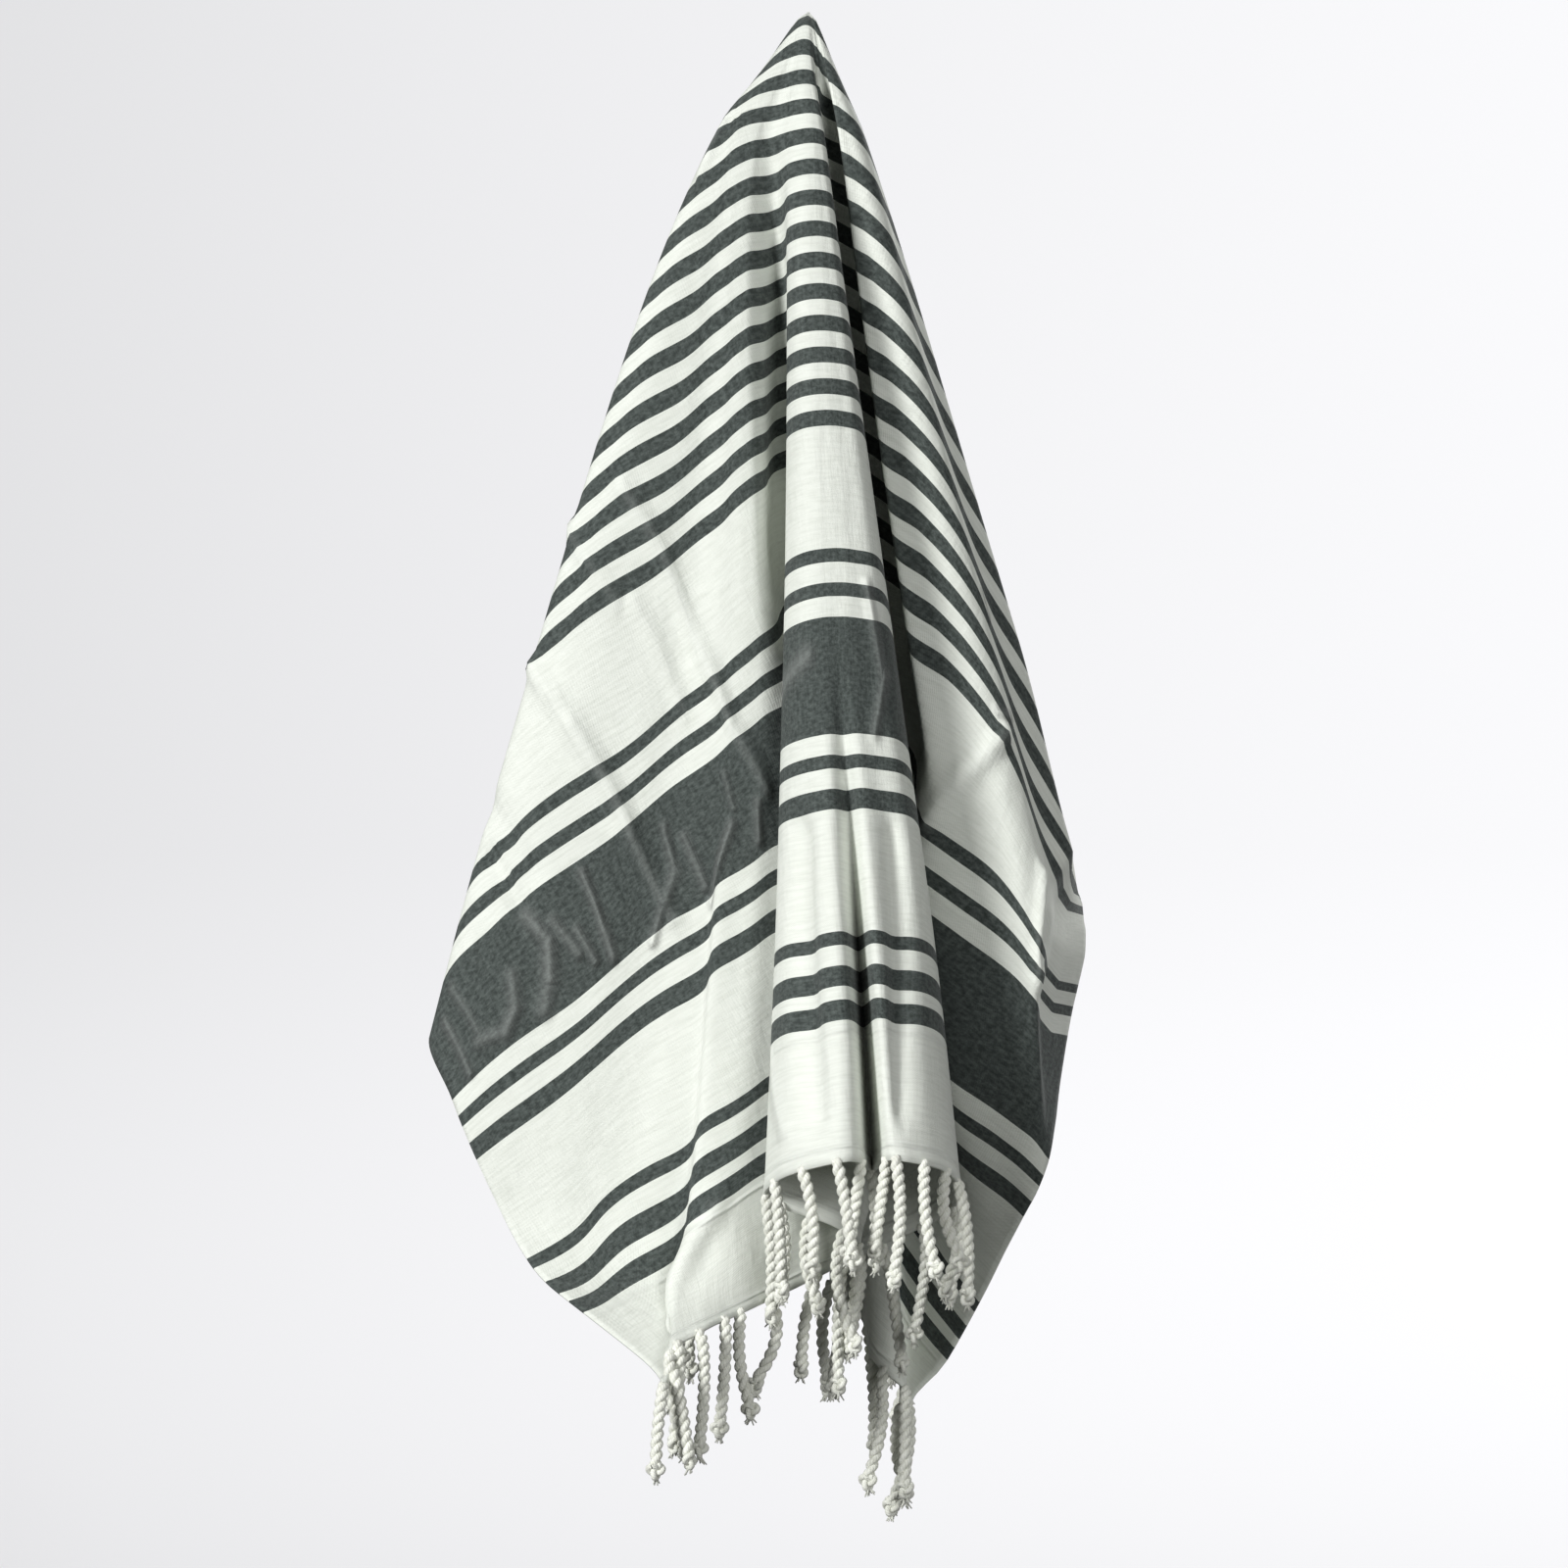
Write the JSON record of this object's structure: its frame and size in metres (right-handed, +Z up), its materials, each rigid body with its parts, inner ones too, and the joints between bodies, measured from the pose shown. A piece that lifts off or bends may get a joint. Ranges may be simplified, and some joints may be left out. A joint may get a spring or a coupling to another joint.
{
  "type": "hammam towel",
  "caption": "Thin woven hammam towel hanging from one point in soft folds, with cross stripes and a row of twisted tassels along each short end.",
  "frame": {"origin": "the point at the top of the cloth where it is hung up", "axes": "+Z up along the hanging towel, front towards -Y, +X to the right seen from the front"},
  "size_m": [0.375, 0.369, 0.866],
  "materials": {
    "towel_cloth": "matt white cotton with grey woven cross stripes",
    "fringe_front": "matt twisted white cotton yarn",
    "fringe_back": "matt twisted white cotton yarn"
  },
  "bodies": {
    "root": {"towel_cloth": "towel_cloth", "fringe_front": "fringe_front", "fringe_back": "fringe_back"}
  },
  "joints": []
}
